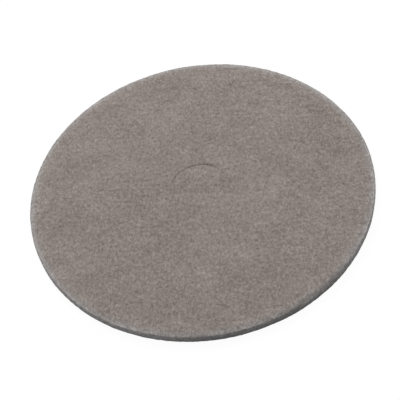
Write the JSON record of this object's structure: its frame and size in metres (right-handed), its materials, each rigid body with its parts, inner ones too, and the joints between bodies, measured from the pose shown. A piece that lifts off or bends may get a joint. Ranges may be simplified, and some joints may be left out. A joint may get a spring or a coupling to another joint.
{
  "type": "floor polishing pad",
  "caption": "Round thin non-woven fibre floor polishing pad with softly rounded edges and a scored centre knock-out still in place.",
  "frame": {"origin": "centre of the pad's floor face, the face it rests on", "axes": "+Z is the pad's axis, from the floor face to the driver face; +Y points to the side where the plug sits deepest, the far side in the picture"},
  "size_m": [0.508, 0.508, 0.0127],
  "materials": {
    "fibre_web": "felted non-woven fibre"
  },
  "bodies": {
    "root": {"polishing_pad": "fibre_web"}
  },
  "joints": []
}
